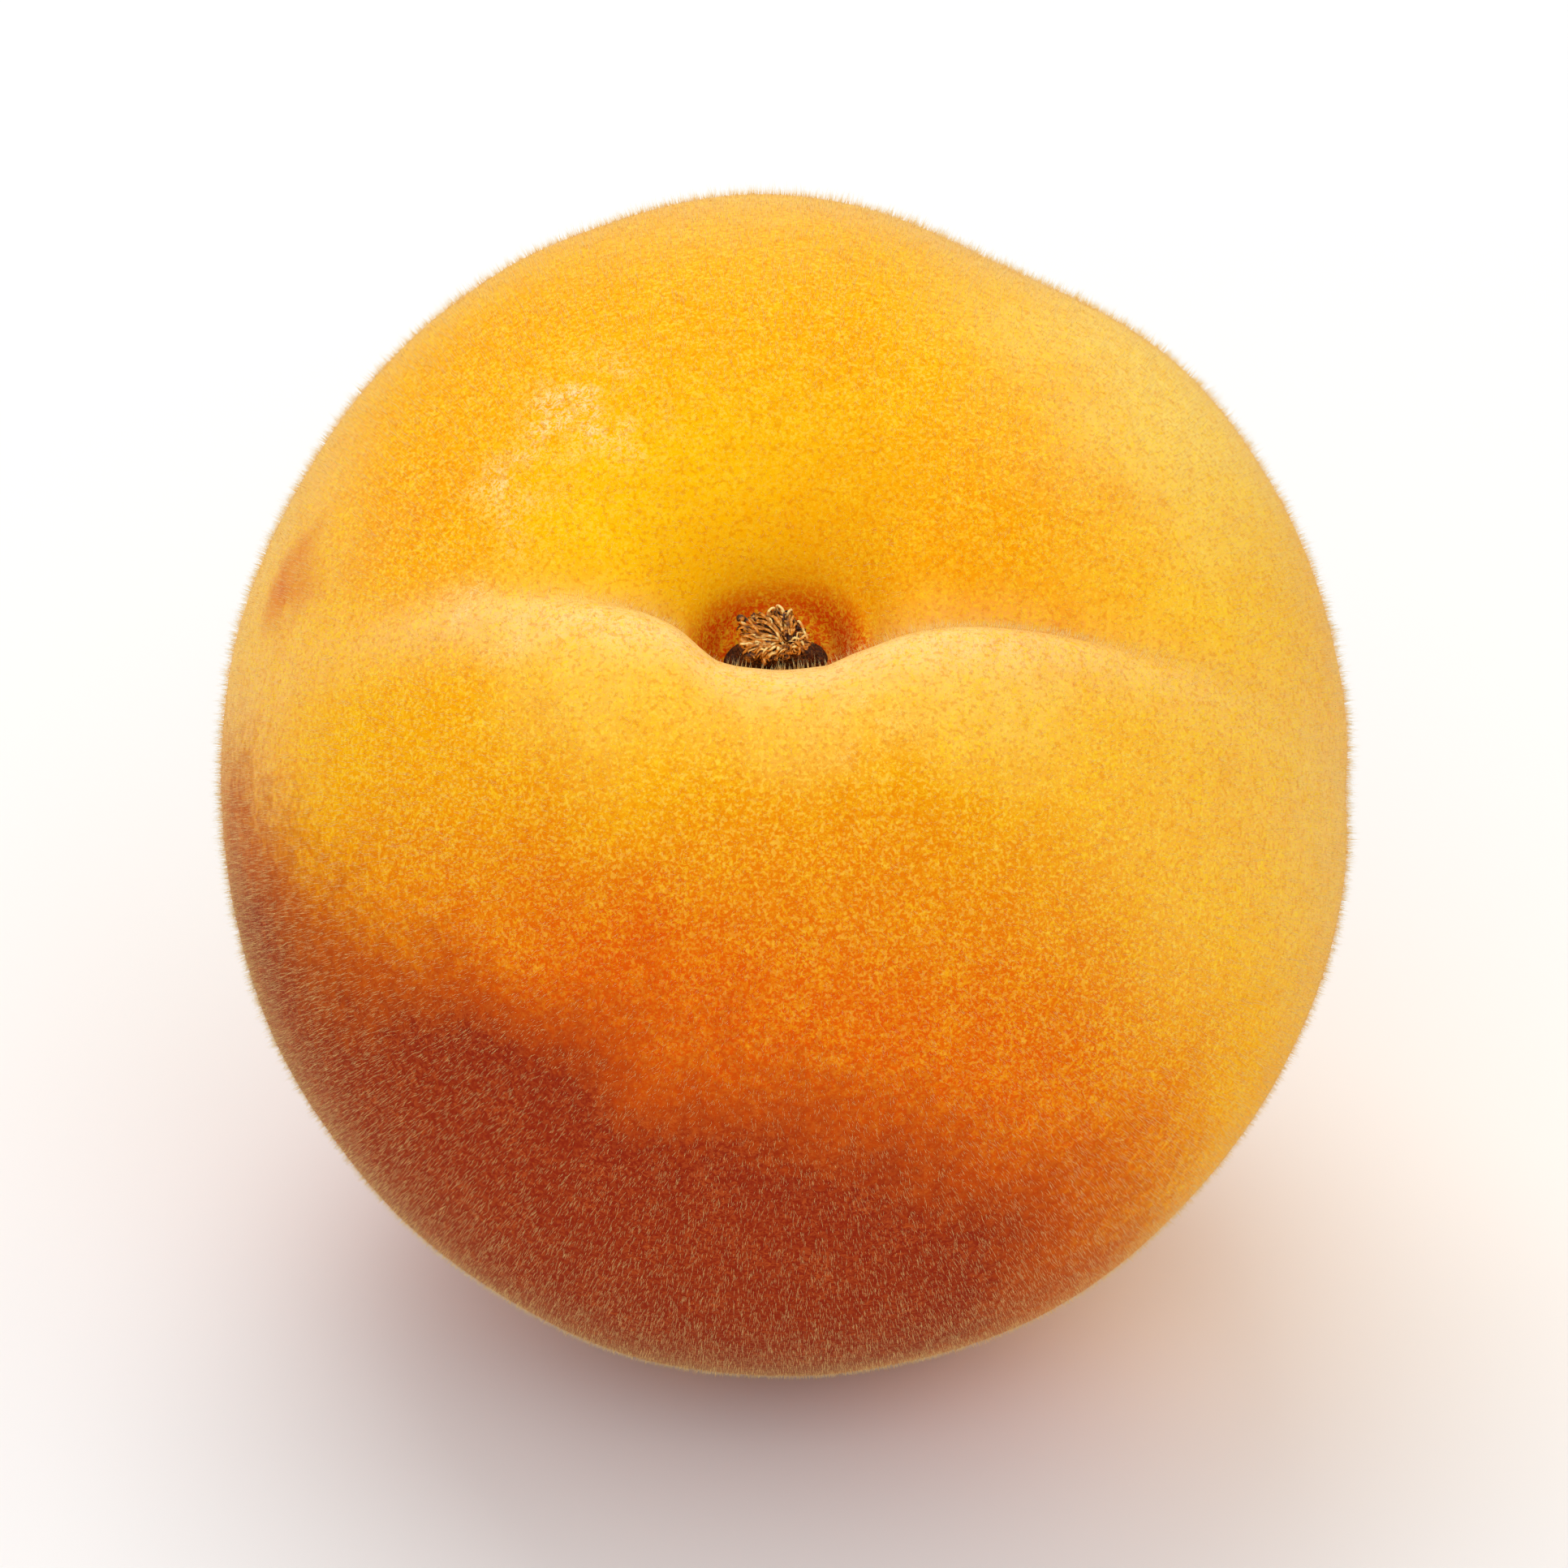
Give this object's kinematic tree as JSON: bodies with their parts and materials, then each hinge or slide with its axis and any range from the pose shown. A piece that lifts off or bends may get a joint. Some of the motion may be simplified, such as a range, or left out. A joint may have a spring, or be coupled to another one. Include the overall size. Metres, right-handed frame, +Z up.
{
  "type": "yellow peach",
  "caption": "Whole yellow peach with a deep stem cavity, the dried stub of its stalk, a suture between unlike cheeks and a small flat spot to rest on.",
  "frame": {"origin": "on the ground under the middle of the peach's bounding box", "axes": "+Z up, square to the flat spot it rests on; the stem end leans towards -Y and the suture runs down the +X side"},
  "size_m": [0.075, 0.0776, 0.0738],
  "materials": {
    "peach_skin": "matt, covered with fine short fuzz",
    "dried_stalk": "dry and fibrous, unfinished"
  },
  "bodies": {
    "root": {"peach": "peach_skin", "stem_stub": "dried_stalk"}
  },
  "joints": []
}
